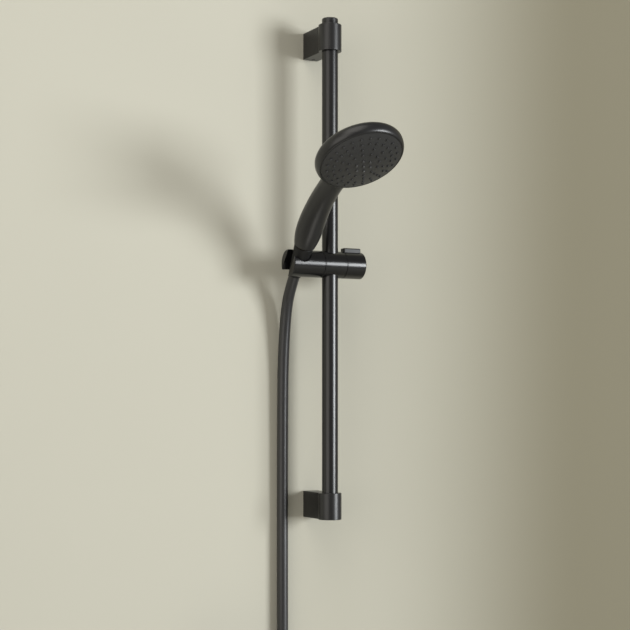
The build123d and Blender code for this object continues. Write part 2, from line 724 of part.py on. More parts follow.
def hose_route():
    """Points of the hanging hose from the nut's foot to the top of the coil."""
    points = [(SHOWER * Pos(0, 0, NUT_BOTTOM - run)).position for run in (0, HOSE_EXIT_RUN)]
    points += [Vector(CRADLE_X, y, z) for y, z in HOSE_POINTS]
    points += [Vector(CRADLE_X, HOSE_HANG, z) for z in (HOSE_HANG_TOP, COIL_Z + COIL_STUB)]
    return points


def hose_radii(points):
    """Bend radius at each inner point, as large as its two runs allow."""
    radii = []
    for before, here, after in zip(points, points[1:], points[2:]):
        turn = math.radians((here - before).get_angle(after - here))
        run = min((here - before).length, (after - here).length)
        radii.append(BEND_SHARE * run / math.tan(turn / 2))
    return radii


def hose():
    """Smooth hose from the cone nut down to the coil."""
    points = hose_route()
    radii = hose_radii(points)
    print("hose bend radii:", [round(radius, 1) for radius in radii])
    path = FilletPolyline(*points, radius=radii)
    start = Plane(origin=points[0], z_dir=points[1] - points[0])
    tube = sweep(start * Circle(HOSE_R), path=path)
    print("hose volume over section times length:", tube.volume / (math.pi * HOSE_R**2 * path.length))
    return tube


def coil_frame():
    """Middle of the coil's entry side: the coil lies in the wall's direction, left of the hanging hose."""
    return Pos(CRADLE_X - COIL_R, HOSE_HANG, COIL_Z)


def hose_coil():
    """Outer form of the tied coil, with the straight ends that lead into and out of it."""
    reach = HOSE_R + COIL_SLACK
    section = RectangleRounded(2 * reach, COIL_TURNS * COIL_PITCH + 2 * reach, COIL_CORNER)
    place = Pos(COIL_R, -COIL_TURNS * COIL_PITCH / 2, 0)
    ring = revolve(place * section, Axis.Y)
    lead_in = Pos(COIL_R, 0, 0) * cylinder_z(HOSE_R, 0, COIL_STUB)
    lead_out = Pos(COIL_R, -COIL_TURNS * COIL_PITCH, 0) * cylinder_z(HOSE_R, -COIL_STUB, 0)
    return coil_frame() * (ring + lead_in + lead_out)


def hose_tie():
    """Strap round the coil, at its far side."""
    coil_half = HOSE_R + COIL_SLACK
    room_x = 2 * (coil_half + GAP)
    room_y = 2 * (coil_half + 2 * SEAT) + COIL_TURNS * COIL_PITCH
    band = RectangleRounded(room_x + 2 * TIE_THICK, room_y + 2 * TIE_THICK, TIE_THICK)
    strap = extrude(band - Rectangle(room_x, room_y), TIE_WIDTH / 2, both=True)
    return coil_frame() * Pos(-COIL_R, -COIL_TURNS * COIL_PITCH / 2, 0) * strap


def supply_frame():
    """Lower end of the coil's lead-out, where the end fitting starts."""
    return coil_frame() * Pos(COIL_R, -COIL_TURNS * COIL_PITCH, -COIL_STUB)


def hose_ferrule():
    """Crimped sleeve with the neck and collar that the supply nut turns on."""
    sleeve = cylinder_z(FERRULE_R, -FERRULE_LENGTH, 0)
    collar_low = -FERRULE_LENGTH - COLLAR_DROP
    neck = cylinder_z(NECK_R, collar_low, -FERRULE_LENGTH)
    collar = cylinder_z(COLLAR_R, collar_low, collar_low + COLLAR_THICK)
    bore = cylinder_z(INSERT_BORE, collar_low, 0)
    return supply_frame() * (sleeve + neck + collar - bore)


def supply_top():
    """Height of the supply nut's top below the start of the end fitting."""
    return -FERRULE_LENGTH - SUPPLY_LIFT


def supply_bottom():
    """Height of the supply nut's open end."""
    return -FERRULE_LENGTH - COLLAR_DROP - WASHER_THICK - SUPPLY_THREAD_LENGTH


def supply_nut():
    """Hexagon nut that turns on the hose's end, with a wider room for the washer above its thread."""
    hexagon = RegularPolygon(SUPPLY_FLATS / 2, 6, major_radius=False)
    body = extrude(Pos(0, 0, supply_bottom()) * hexagon, supply_top() - supply_bottom())
    shoulder = supply_top() - SUPPLY_TOP_WALL
    thread_top = supply_bottom() + SUPPLY_THREAD_LENGTH
    body -= cylinder_z(SUPPLY_THREAD_R, supply_bottom(), thread_top)
    body -= cylinder_z(SUPPLY_RELIEF_R, thread_top, shoulder)
    body -= cylinder_z(NECK_R + GAP, shoulder, supply_top())
    return supply_frame() * body


def supply_washer():
    """Rubber washer against the collar in the supply nut."""
    high = -FERRULE_LENGTH - COLLAR_DROP
    return supply_frame() * ring_z(SUPPLY_THREAD_R - SEAT, WASHER_BORE, high - WASHER_THICK, high)


def all_pieces():
    """Every piece in its place, by name."""
    upper = Pos(0, 0, SCREW_SPACING / 2)
    lower = Pos(0, 0, -SCREW_SPACING / 2)
    half = BRACKET_HEIGHT / 2
    pieces = {
        "rail_tube": rail_tube(),
        "rail_top_plug": rail_top_plug(),
        "upper_bracket": upper * wall_bracket(-half),
        "lower_bracket": lower * wall_bracket(-half + BRACKET_FLOOR),
        "upper_wall_base": upper * wall_base(),
        "lower_wall_base": lower * wall_base(),
        "upper_grub_screw": upper * grub_screw(),
        "lower_grub_screw": lower * grub_screw(),
        "hose": hose(),
        "hose_coil": hose_coil(),
        "hose_tie": hose_tie(),
        "hose_ferrule": hose_ferrule(),
        "supply_nut": supply_nut(),
        "supply_washer": supply_washer(),
    }
    for maker in (
        glide_bush,
        slider_body,
        slider_end,
        release_key,
        brake_shoe,
        brake_pad,
        brake_spring,
        cradle,
        cradle_screw,
        friction_ring,
    ):
        pieces[maker.__name__] = SLIDER * maker()
    for maker in (
        hose_cone_nut,
        hose_insert,
        inlet_washer,
        thread_spigot,
        flow_limiter,
        handle_shell,
        water_tube,
    ):
        pieces[maker.__name__] = SHOWER * maker()
    for maker in (
        chamber_disc,
        chamber_seal,
        spray_plate,
        nozzle_mat,
        jet_insert,
        face_clip,
    ):
        pieces[maker.__name__] = SHOWER * HEAD * maker()
    return pieces


os.makedirs("parts", exist_ok=True)
for name, piece in all_pieces().items():
    export_step(piece, f"parts/{name}.step")
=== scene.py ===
"""Looks of a hand shower set on a round slide rail: finishes, nozzle mouths, hose, wall and light.

Frame, in metres: the wall is the plane Y = 0, the set stands out from it towards -Y, and +Z is up.
"""

import json
import math

import bmesh
import bpy
from mathutils import Matrix, Vector

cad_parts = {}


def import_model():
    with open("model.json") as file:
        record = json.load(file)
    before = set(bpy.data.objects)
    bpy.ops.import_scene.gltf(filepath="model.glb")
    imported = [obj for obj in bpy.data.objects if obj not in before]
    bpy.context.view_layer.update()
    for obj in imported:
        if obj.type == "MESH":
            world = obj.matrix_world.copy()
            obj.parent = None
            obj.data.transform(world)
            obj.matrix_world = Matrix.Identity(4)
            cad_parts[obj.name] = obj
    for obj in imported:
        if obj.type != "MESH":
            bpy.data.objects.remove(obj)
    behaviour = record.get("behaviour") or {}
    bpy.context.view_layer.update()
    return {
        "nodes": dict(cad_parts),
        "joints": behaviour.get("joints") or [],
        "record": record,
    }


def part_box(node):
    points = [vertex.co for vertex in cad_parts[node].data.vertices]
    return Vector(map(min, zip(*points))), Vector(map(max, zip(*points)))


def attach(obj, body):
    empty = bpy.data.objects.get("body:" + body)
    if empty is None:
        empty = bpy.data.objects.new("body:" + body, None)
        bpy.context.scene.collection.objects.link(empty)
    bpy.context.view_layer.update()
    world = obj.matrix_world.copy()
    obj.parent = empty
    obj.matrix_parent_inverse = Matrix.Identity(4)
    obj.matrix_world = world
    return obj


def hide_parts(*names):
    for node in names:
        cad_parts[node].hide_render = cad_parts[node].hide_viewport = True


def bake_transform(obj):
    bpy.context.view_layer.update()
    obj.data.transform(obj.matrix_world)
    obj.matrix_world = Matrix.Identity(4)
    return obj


# Camera
CAMERA_PLACE = (-0.84574, -1.69484, -0.15807)
CAMERA_YAW = -26.691
CAMERA_LENS = 85.05
CAMERA_SENSOR = 36.0
CAMERA_RISE = 0.1346

# Hose, as laid in the part's source
HOSE_RADIUS = 0.007
HOSE_X = -0.0435
HOSE_EXIT = (HOSE_X, -0.0435338, -0.00399618)
HOSE_FALL = ((-0.0275266, -0.0244845), (-0.0185, -0.0495), (-0.0123, -0.0885), (-0.0083, -0.15))
HANG_Y = -0.0083
HANG_END = -0.497
COIL_HEIGHT = -0.547
COIL_RADIUS = 0.0715
COIL_TURNS = 2
COIL_PITCH = 0.015
COIL_STEPS = 16
COIL_STUB = 0.05
HOSE_SIDES = 28
SPLINE_STEPS = 10

# Spray face, as in the part's source
HEAD_ROLL = 2.9
HEAD_TILT = 38.0
FACE_RADIUS = 0.0479
FACE_BULGE = 0.008
MAT_INNER = 0.0131
MAT_OUTER = 0.0452
MAT_TOP = 0.0024
MAT_THICK = 0.0016
NOZZLE_RINGS = ((24, 0.0417), (24, 0.0346), (12, 0.027), (12, 0.0192))
JET_RINGS = ((1, 0.0), (6, 0.0092))
NOZZLE_TURN = -3.0
NOZZLE_SIDES = 16
NOZZLE_SHAPE = (
    (0.0, -0.0032),
    (0.0014, -0.0032),
    (0.0013, -0.0005),
    (0.00118, 0.0009),
    (0.00108, 0.00128),
    (0.0009, 0.0014),
    (0.0006, 0.0014),
    (0.00048, 0.00128),
    (0.00042, 0.0002),
    (0.0, 0.0002),
)
JET_SHAPE = (
    (0.00125, -0.0006),
    (0.0012, 0.0009),
    (0.00112, 0.0014),
    (0.0009, 0.0016),
    (0.0006, 0.0016),
    (0.0005, 0.00145),
    (0.0005, 0.00141),
)
MAT_STEPS = 72

# Brake spring, as in the part's source
LEAF_THICK = 0.0005
LEAF_STEPS = 24

# Stage and light
WALL_SIZE = 8.0
WALL_BEHIND = 0.0005
FLOOR_HEIGHT = -1.7
# Wall colours: the darker tone is used for faint random blotches on the wall and floor, and as the colour of
# painted shade; the two spans along X, in metres, darken the wall to the right with painted shade, where the
# room's light falls off.
WALL_TONE = (0.502, 0.491, 0.421)
WALL_BLOTCH_AND_PAINTED_SHADE_TONE = (0.205, 0.189, 0.136)
WALL_PAINTED_FALLOFF = (-0.12, 0.06, 0.0, 0.2)
WALL_PAINTED_SHADE = (0.06, 0.43)
FLOOR_TONE = (0.40, 0.39, 0.35)
LIGHT_AIM = (0.0, -0.054, 0.03)
DAY_TONE = (0.96, 0.985, 1.0)
ROOM_TONE = (1.0, 0.96, 0.89)
ROOM_STRENGTH = 0.24

# Surfaces: depths of grain and lines in metres, stretch of the lines, and shares of the handling marks
FAINT_GRAIN = 0.0000004
SATIN_GRAIN = 0.000001
JET_GRAIN = 0.000004
PLATE_GRAIN = 0.000006
RUBBER_GRAIN = 0.00001
COARSE_GRAIN = 0.00002
TURNED_DEPTH = 0.00002
TURNED_STRETCH = (1, 1, 12)
DRAWN_DEPTH = 0.00003
DRAWN_STRETCH = (1.0, 0.03, 1.0)
STREAK_SHARE = 0.5
SMEAR_TINT = 0.06


def hose_points():
    """Route of the hose: out of the nut, down the wall, round the coil and out to the end fitting."""
    points = [HOSE_EXIT]
    points += [(HOSE_X, y, z) for y, z in HOSE_FALL]
    points.append((HOSE_X, HANG_Y, HANG_END))
    middle = HOSE_X - COIL_RADIUS
    spread = COIL_RADIUS / math.cos(math.pi / COIL_STEPS)
    for step in range(COIL_STEPS * COIL_TURNS + 1):
        turn = -2 * math.pi * step / COIL_STEPS
        y = HANG_Y - COIL_PITCH * step / COIL_STEPS
        points.append((middle + spread * math.cos(turn), y, COIL_HEIGHT + spread * math.sin(turn)))
    points.append((HOSE_X, HANG_Y - COIL_TURNS * COIL_PITCH, COIL_HEIGHT - COIL_STUB))
    return points


def smooth_line(name, points):
    """Points along the smooth spline that the control points shape."""
    curve = bpy.data.curves.new(name, "CURVE")
    curve.dimensions = "3D"
    curve.resolution_u = SPLINE_STEPS
    spline = curve.splines.new("NURBS")
    spline.points.add(len(points) - 1)
    for point, place in zip(spline.points, points):
        point.co = (*place, 1)
    spline.order_u = 3
    spline.use_endpoint_u = True
    holder = bpy.data.objects.new(name, curve)
    bpy.context.scene.collection.objects.link(holder)
    bpy.context.view_layer.update()
    graph = bpy.context.evaluated_depsgraph_get()
    mesh = bpy.data.meshes.new_from_object(holder.evaluated_get(graph))
    line = [vertex.co.copy() for vertex in mesh.vertices]
    bpy.data.meshes.remove(mesh)
    bpy.data.objects.remove(holder)
    bpy.data.curves.remove(curve)
    return line


def tube_along(name, line, radius, sides):
    """Closed round tube along a line, with UVs that run round and along it in metres."""
    mesh = bmesh.new()
    uv = mesh.loops.layers.uv.new("UVMap")
    ahead = (line[1] - line[0]).normalized()
    side = ahead.orthogonal().normalized()
    rings = []
    along = [0.0]
    for here, there in zip(line, line[1:]):
        along.append(along[-1] + (there - here).length)
    for index, place in enumerate(line):
        before = line[max(index - 1, 0)]
        after = line[min(index + 1, len(line) - 1)]
        turned = (after - before).normalized()
        side = ahead.rotation_difference(turned) @ side
        ahead = turned
        across = ahead.cross(side)
        ring = []
        for step in range(sides):
            angle = 2 * math.pi * step / sides
            ring.append(mesh.verts.new(place + radius * (math.cos(angle) * side + math.sin(angle) * across)))
        rings.append(ring)
    girth = 2 * math.pi * radius
    for row, (low, high) in enumerate(zip(rings, rings[1:])):
        for step in range(sides):
            after = (step + 1) % sides
            face = mesh.faces.new((low[step], low[after], high[after], high[step]))
            face.smooth = True
            corners = ((step, row), (step + 1, row), (step + 1, row + 1), (step, row + 1))
            for loop, (u, v) in zip(face.loops, corners):
                loop[uv].uv = (girth * u / sides, along[v])
    for ring in (list(reversed(rings[0])), rings[-1]):
        for edge in mesh.faces.new(ring).edges:
            edge.smooth = False
    return finished_mesh(name, mesh)


def finished_mesh(name, mesh):
    """Object at the origin made from a finished bmesh."""
    data = bpy.data.meshes.new(name)
    mesh.to_mesh(data)
    mesh.free()
    piece = bpy.data.objects.new(name, data)
    bpy.context.scene.collection.objects.link(piece)
    return piece


def face_height(radius):
    """Height of the domed face above its rim plane, at a distance from its middle."""
    sphere = (FACE_RADIUS**2 + FACE_BULGE**2) / (2 * FACE_BULGE)
    return math.sqrt(sphere**2 - radius**2) - sphere + FACE_BULGE


def head_frame(joint):
    """Place of the spray face: its middle, its outward normal and the roll of the shower."""
    roll = math.radians(HEAD_ROLL)
    tilt = math.radians(HEAD_TILT)
    out = Vector(joint["axis"]).normalized()
    right = Vector((math.cos(roll), math.sin(roll) * math.cos(tilt), math.sin(roll) * math.sin(tilt)))
    up = out.cross(right)
    return Matrix.Translation(joint["pos_m"]) @ Matrix((right, up, out)).transposed().to_4x4()


def spun(name, outline, sides, closed=False):
    """Mesh made by turning an outline of radius and height pairs round Z."""
    mesh = bmesh.new()
    rings = []
    for radius, height in outline:
        if radius == 0:
            rings.append([mesh.verts.new((0, 0, height))] * sides)
            continue
        turns = [2 * math.pi * step / sides for step in range(sides)]
        rings.append([mesh.verts.new((radius * math.cos(a), radius * math.sin(a), height)) for a in turns])
    pairs = list(zip(rings, rings[1:]))
    if closed:
        pairs.append((rings[-1], rings[0]))
    for low, high in pairs:
        for step in range(sides):
            after = (step + 1) % sides
            corners = dict.fromkeys((low[step], low[after], high[after], high[step]))
            mesh.faces.new(list(corners)).smooth = True
    bmesh.ops.recalc_face_normals(mesh, faces=mesh.faces)
    return finished_mesh(name, mesh)


def ring_tree(name, rings, tip, finish):
    """Geometry node tree that stands a copy of a tip on every place of the rings, on the dome."""
    tree = bpy.data.node_groups.new(name, "GeometryNodeTree")
    tree.interface.new_socket("Geometry", in_out="INPUT", socket_type="NodeSocketGeometry")
    tree.interface.new_socket("Geometry", in_out="OUTPUT", socket_type="NodeSocketGeometry")
    turn = tree.interface.new_socket("Turn", in_out="INPUT", socket_type="NodeSocketFloat")
    source = tree.nodes.new("NodeGroupInput")
    join = tree.nodes.new("GeometryNodeJoinGeometry")
    spin = tree.nodes.new("ShaderNodeCombineXYZ")
    tree.links.new(source.outputs["Turn"], spin.inputs["Z"])
    shape = tree.nodes.new("GeometryNodeObjectInfo")
    shape.inputs["Object"].default_value = tip
    for count, radius in rings:
        if count == 1:
            spots = tree.nodes.new("GeometryNodeMeshLine")
            spots.inputs["Count"].default_value = 1
        else:
            spots = tree.nodes.new("GeometryNodeMeshCircle")
            spots.inputs["Vertices"].default_value = count
            spots.inputs["Radius"].default_value = radius
        place = tree.nodes.new("GeometryNodeTransform")
        place.inputs["Translation"].default_value = (0, 0, face_height(radius))
        stand = tree.nodes.new("GeometryNodeInstanceOnPoints")
        tree.links.new(spots.outputs["Mesh"], place.inputs["Geometry"])
        tree.links.new(spin.outputs["Vector"], place.inputs["Rotation"])
        tree.links.new(place.outputs["Geometry"], stand.inputs["Points"])
        tree.links.new(shape.outputs["Geometry"], stand.inputs["Instance"])
        tree.links.new(stand.outputs["Instances"], join.inputs["Geometry"])
    tree.links.new(source.outputs["Geometry"], join.inputs["Geometry"])
    real = tree.nodes.new("GeometryNodeRealizeInstances")
    paint = tree.nodes.new("GeometryNodeSetMaterial")
    paint.inputs["Material"].default_value = finish
    result = tree.nodes.new("NodeGroupOutput")
    tree.links.new(join.outputs["Geometry"], real.inputs["Geometry"])
    tree.links.new(real.outputs["Geometry"], paint.inputs["Geometry"])
    tree.links.new(paint.outputs["Geometry"], result.inputs["Geometry"])
    return tree, turn.identifier


def ringed_piece(piece, rings, tip, finish, place):
    """Piece with a tip at every place of its rings, made plain and put in the head."""
    tree, turn = ring_tree(piece.name + "_rings", rings, tip, finish)
    modifier = piece.modifiers.new("rings", "NODES")
    modifier.node_group = tree
    modifier[turn] = math.radians(NOZZLE_TURN)
    bpy.context.view_layer.update()
    graph = bpy.context.evaluated_depsgraph_get()
    mesh = bpy.data.meshes.new_from_object(piece.evaluated_get(graph))
    piece.modifiers.clear()
    piece.data = mesh
    mesh.transform(place)
    mesh.shade_smooth()
    bpy.data.objects.remove(tip)
    return piece


def mat_outline():
    """Section of the rubber sheet behind the face plate."""
    steps = 12
    span = [MAT_INNER + (MAT_OUTER - MAT_INNER) * step / steps for step in range(steps + 1)]
    top = [(radius, face_height(radius) - MAT_TOP) for radius in span]
    return top + [(radius, height - MAT_THICK) for radius, height in reversed(top)]


def add_nozzles(place, rubber, gloss):
    """Rubber mat with its nozzles, and the lips of the middle jets."""
    mat = spun("rubber_mat", mat_outline(), MAT_STEPS, closed=True)
    nozzle = spun("nozzle", NOZZLE_SHAPE, NOZZLE_SIDES)
    ringed_piece(mat, NOZZLE_RINGS, nozzle, rubber, place)
    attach(mat, "spray_face")
    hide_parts("nozzle_mat")
    lips = finished_mesh("jet_lips", bmesh.new())
    ringed_piece(lips, JET_RINGS, spun("jet", JET_SHAPE, NOZZLE_SIDES), gloss, place)
    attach(lips, "spray_face")


def bow_point(crest, half, rise, share):
    """Point at a share of the half span of an arc bowed towards -X: its X, and how far from the middle."""
    radius = (half**2 + rise**2) / (2 * rise)
    turn = share * math.asin(half / radius)
    return crest + radius * (1 - math.cos(turn)), radius * math.sin(turn)


def add_brake_spring(steel):
    """Bowed leaf spring in its rest shape; the shoe flattens the real one when the key is pressed, but this
    mesh keeps its bow.
    """
    low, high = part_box("brake_spring")
    middle = (low + high) / 2
    half = high.y - middle.y
    rise = high.x - low.x
    mesh = bmesh.new()
    sections = []
    for step in range(LEAF_STEPS + 1):
        share = 2 * step / LEAF_STEPS - 1
        outer = bow_point(low.x, half, rise, share)
        inner = bow_point(low.x + LEAF_THICK, half - LEAF_THICK, rise - LEAF_THICK, share)
        corners = ((outer, low.z), (outer, high.z), (inner, high.z), (inner, low.z))
        sections.append([mesh.verts.new((x, middle.y + away, z)) for (x, away), z in corners])
    for here, there in zip(sections, sections[1:]):
        for corner in range(len(here)):
            after = (corner + 1) % len(here)
            mesh.faces.new((here[corner], here[after], there[after], there[corner]))
    mesh.faces.new(sections[0])
    mesh.faces.new(sections[-1])
    bmesh.ops.recalc_face_normals(mesh, faces=mesh.faces)
    spring = finished_mesh("leaf_spring", mesh)
    spring.data.materials.append(steel)
    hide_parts("brake_spring")
    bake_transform(spring)


def shader_group(name, inputs, outputs):
    """Empty shader node group with named sockets, and its two end nodes."""
    tree = bpy.data.node_groups.new(name, "ShaderNodeTree")
    for label, kind, value in inputs:
        socket = tree.interface.new_socket(label, in_out="INPUT", socket_type="NodeSocket" + kind)
        if value is not None:
            socket.default_value = value
    for label, kind in outputs:
        tree.interface.new_socket(label, in_out="OUTPUT", socket_type="NodeSocket" + kind)
    return tree, tree.nodes.new("NodeGroupInput"), tree.nodes.new("NodeGroupOutput")


def noise(tree, vector, scale, detail=2.0, roughness=0.5):
    """Noise node on a vector; the scale is a number or a socket."""
    made = tree.nodes.new("ShaderNodeTexNoise")
    made.inputs["Detail"].default_value = detail
    made.inputs["Roughness"].default_value = roughness
    tree.links.new(vector, made.inputs["Vector"])
    if isinstance(scale, (int, float)):
        made.inputs["Scale"].default_value = scale
    else:
        tree.links.new(scale, made.inputs["Scale"])
    return made.outputs["Fac"]


def reckon(tree, how, first, second):
    """Math node on two values, each a number or a socket."""
    made = tree.nodes.new("ShaderNodeMath")
    made.operation = how
    for socket, value in zip(made.inputs, (first, second)):
        if isinstance(value, (int, float)):
            socket.default_value = value
        else:
            tree.links.new(value, socket)
    return made.outputs["Value"]


def between(tree, value, low, high, to_low=0.0, to_high=1.0):
    """Value brought from one range to another and held inside it."""
    made = tree.nodes.new("ShaderNodeMapRange")
    made.interpolation_type = "SMOOTHSTEP"
    for label, number in zip(("From Min", "From Max", "To Min", "To Max"), (low, high, to_low, to_high)):
        made.inputs[label].default_value = number
    tree.links.new(value, made.inputs["Value"])
    return made.outputs["Result"]


def blended(tree, share, first, second):
    """Colour between two colours, each a colour or a socket."""
    made = tree.nodes.new("ShaderNodeMix")
    made.data_type = "RGBA"
    tree.links.new(share, made.inputs["Factor"])
    for label, value in (("A", first), ("B", second)):
        socket = next(s for s in made.inputs if s.name == label and s.type == "RGBA")
        if isinstance(value, tuple):
            socket.default_value = (*value, 1)
        else:
            tree.links.new(value, socket)
    return next(s for s in made.outputs if s.type == "RGBA")


def moulded_grain():
    """Group: fine spark grain over a slow orange peel, as a height."""
    tree, given, result = shader_group(
        "moulded_grain",
        (
            ("Vector", "Vector", None),
            ("Grain", "Float", 2600.0),
            ("Peel", "Float", 160.0),
            ("Share", "Float", 0.5),
        ),
        (("Height", "Float"),),
    )
    fine = noise(tree, given.outputs["Vector"], given.outputs["Grain"], 1.0)
    slow = noise(tree, given.outputs["Vector"], given.outputs["Peel"], 1.0)
    fine = reckon(tree, "MULTIPLY", fine, given.outputs["Share"])
    tree.links.new(reckon(tree, "ADD", fine, slow), result.inputs["Height"])
    return tree


def handling_marks():
    """Group: faint smears from hands and water, and a little dust on what faces up."""
    tree, given, result = shader_group(
        "handling_marks",
        (
            ("Vector", "Vector", None),
            ("Color", "Color", None),
            ("Dust Color", "Color", (0.35, 0.34, 0.31, 1)),
            ("Roughness", "Float", 0.35),
            ("Smear", "Float", 0.08),
            ("Dust", "Float", 0.03),
        ),
        (("Color", "Color"), ("Roughness", "Float")),
    )
    vector = given.outputs["Vector"]
    smear = noise(tree, vector, scale=34.0, detail=4.0, roughness=0.6)
    smear = between(tree, smear, low=0.42, high=0.68)
    streak = noise(tree, vector, scale=190.0, detail=3.0, roughness=0.65)
    streak = between(tree, streak, low=0.5, high=0.72)
    streaked = reckon(tree, "ADD", reckon(tree, "MULTIPLY", streak, STREAK_SHARE), 1 - STREAK_SHARE)
    worn = reckon(tree, "MULTIPLY", smear, streaked)
    added = reckon(tree, "MULTIPLY", worn, given.outputs["Smear"])
    tree.links.new(reckon(tree, "ADD", given.outputs["Roughness"], added), result.inputs["Roughness"])
    normal = tree.nodes.new("ShaderNodeNewGeometry")
    parts = tree.nodes.new("ShaderNodeSeparateXYZ")
    tree.links.new(normal.outputs["Normal"], parts.inputs["Vector"])
    up = between(tree, parts.outputs["Z"], low=0.2, high=1.0)
    specks = noise(tree, vector, scale=1400.0, detail=2.0, roughness=0.7)
    specks = between(tree, specks, low=0.5, high=0.66, to_low=0.25)
    dust = reckon(tree, "MULTIPLY", reckon(tree, "MULTIPLY", up, specks), given.outputs["Dust"])
    film = reckon(tree, "MULTIPLY", given.outputs["Smear"], SMEAR_TINT)
    share = reckon(tree, "ADD", dust, reckon(tree, "MULTIPLY", worn, film))
    tint = blended(tree, share, given.outputs["Color"], given.outputs["Dust Color"])
    tree.links.new(tint, result.inputs["Color"])
    return tree


def start_finish(name):
    """New material with its tree, its main shader and its object coordinates."""
    finish = bpy.data.materials.new(name)
    finish.use_nodes = True
    tree = finish.node_tree
    shader = tree.nodes["Principled BSDF"]
    coords = tree.nodes.new("ShaderNodeTexCoord")
    return finish, tree, shader, coords


def place_group(tree, group, **values):
    """Group node with its values set; a value is a number, a colour or a socket."""
    made = tree.nodes.new("ShaderNodeGroup")
    made.node_tree = group
    for label, value in values.items():
        socket = made.inputs[label.replace("_", " ")]
        if isinstance(value, (int, float)):
            socket.default_value = value
        elif isinstance(value, tuple):
            socket.default_value = (*value, 1)
        else:
            tree.links.new(value, socket)
    return made


def roughen(tree, shader, height, depth):
    """Bump from a height, in metres, into the shader's normal."""
    bump = tree.nodes.new("ShaderNodeBump")
    bump.inputs["Distance"].default_value = depth
    tree.links.new(height, bump.inputs["Height"])
    tree.links.new(bump.outputs["Normal"], shader.inputs["Normal"])


def moulded(name, groups, tone, roughness, depth=COARSE_GRAIN, smear=0.08, dust=0.03, specular=0.5):
    """Moulded or coated surface with grain, handling marks and a little dust."""
    finish, tree, shader, coords = start_finish(name)
    vector = coords.outputs["Object"]
    marks = place_group(
        tree, groups["marks"], Vector=vector, Color=tone, Roughness=roughness, Smear=smear, Dust=dust
    )
    tree.links.new(marks.outputs["Color"], shader.inputs["Base Color"])
    tree.links.new(marks.outputs["Roughness"], shader.inputs["Roughness"])
    shader.inputs["Specular IOR Level"].default_value = specular
    fine = place_group(tree, groups["grain"], Vector=vector)
    roughen(tree, shader, fine.outputs["Height"], depth)
    return finish


def turned_metal(name, groups, tone, roughness):
    """Bare metal with fine turning lines and dull patches."""
    finish, tree, shader, coords = start_finish(name)
    vector = coords.outputs["Object"]
    stretch = tree.nodes.new("ShaderNodeMapping")
    stretch.inputs["Scale"].default_value = TURNED_STRETCH
    tree.links.new(vector, stretch.inputs["Vector"])
    marks = place_group(
        tree, groups["marks"], Vector=vector, Color=tone, Roughness=roughness, Smear=0.15, Dust=0.0
    )
    tree.links.new(marks.outputs["Color"], shader.inputs["Base Color"])
    tree.links.new(marks.outputs["Roughness"], shader.inputs["Roughness"])
    shader.inputs["Metallic"].default_value = 1.0
    lines = noise(tree, stretch.outputs["Vector"], scale=900.0)
    roughen(tree, shader, lines, TURNED_DEPTH)
    return finish


def hose_skin(groups):
    """Smooth extruded skin with faint lines along it."""
    finish, tree, shader, coords = start_finish("hose_skin")
    marks = place_group(
        tree,
        groups["marks"],
        Vector=coords.outputs["Object"],
        Color=(0.020, 0.020, 0.021),
        Roughness=0.36,
        Smear=0.1,
        Dust=0.02,
    )
    tree.links.new(marks.outputs["Color"], shader.inputs["Base Color"])
    tree.links.new(marks.outputs["Roughness"], shader.inputs["Roughness"])
    drawn = tree.nodes.new("ShaderNodeMapping")
    drawn.inputs["Scale"].default_value = DRAWN_STRETCH
    tree.links.new(coords.outputs["UV"], drawn.inputs["Vector"])
    lines = noise(tree, drawn.outputs["Vector"], scale=1500.0)
    roughen(tree, shader, lines, DRAWN_DEPTH)
    return finish


def finishes():
    """Every finish of the set, by the name of what it is on."""
    groups = {"grain": moulded_grain(), "marks": handling_marks()}
    gloss = {"depth": FAINT_GRAIN, "smear": 0.02, "dust": 0.005}
    satin = {"depth": SATIN_GRAIN, "smear": 0.03, "dust": 0.005}
    return {
        "coat": moulded("satin_coat", groups, (0.007, 0.007, 0.0075), 0.28, **gloss),
        "shell": moulded("satin_shell", groups, (0.010, 0.010, 0.0108), 0.33, **satin),
        "barrel": moulded("gloss_barrel", groups, (0.004, 0.004, 0.0044), 0.22, **gloss),
        "key": moulded("satin_key", groups, (0.011, 0.011, 0.0112), 0.48, **satin),
        # The nut is the same plastic as the shell, given a darker tone and weaker reflection as painted
        # shade for the shade it sits in inside the cradle.
        "nut": moulded("nut_painted_shade", groups, (0.007, 0.007, 0.0072), 0.5, smear=0.03, dust=0.0, specular=0.25),
        "plate": moulded("matt_plate", groups, (0.0215, 0.0218, 0.023), 0.45, depth=PLATE_GRAIN),
        "rubber": moulded("nozzle_rubber", groups, (0.028, 0.028, 0.029), 0.5, depth=RUBBER_GRAIN),
        "washer": moulded("washer_rubber", groups, (0.03, 0.03, 0.03), 0.6),
        # The jets' light grey tone is partly painted highlight, standing in for their glints; their low
        # roughness gives real gloss.
        "jets": moulded("gloss_jets_painted_glint", groups, (0.075, 0.075, 0.077), 0.14, depth=JET_GRAIN, smear=0.03),
        "inner": moulded("pale_moulding", groups, (0.60, 0.60, 0.57), 0.42),
        "hose": hose_skin(groups),
        "steel": turned_metal("bright_steel", groups, (0.56, 0.56, 0.57), 0.28),
        "brass": turned_metal("turned_brass", groups, (0.68, 0.50, 0.24), 0.3),
    }


FINISH_OF_SLOT = {
    "black_coat": "coat",
    "black_shell": "shell",
    "face_plastic": "plate",
    "jet_plastic": "jets",
    "inner_plastic": "inner",
    "rubber": "washer",
    "hose_plastic": "hose",
    "steel": "steel",
    "brass": "brass",
}
FINISH_OF_NODE = {
    "slider_body": "barrel",
    "slider_end": "barrel",
    "cradle": "barrel",
    "release_key": "key",
    "hose_cone_nut": "nut",
    "hose_tie": "washer",
}


def dress_nodes(frame, looks):
    """Give every carried-over piece its own finish, or else the finish of its slot."""
    for row in frame["record"]["subparts"]:
        finish = FINISH_OF_NODE.get(row["node"], FINISH_OF_SLOT[row["material_slot"]])
        piece = frame["nodes"][row["node"]]
        piece.data.materials.clear()
        piece.data.materials.append(looks[finish])


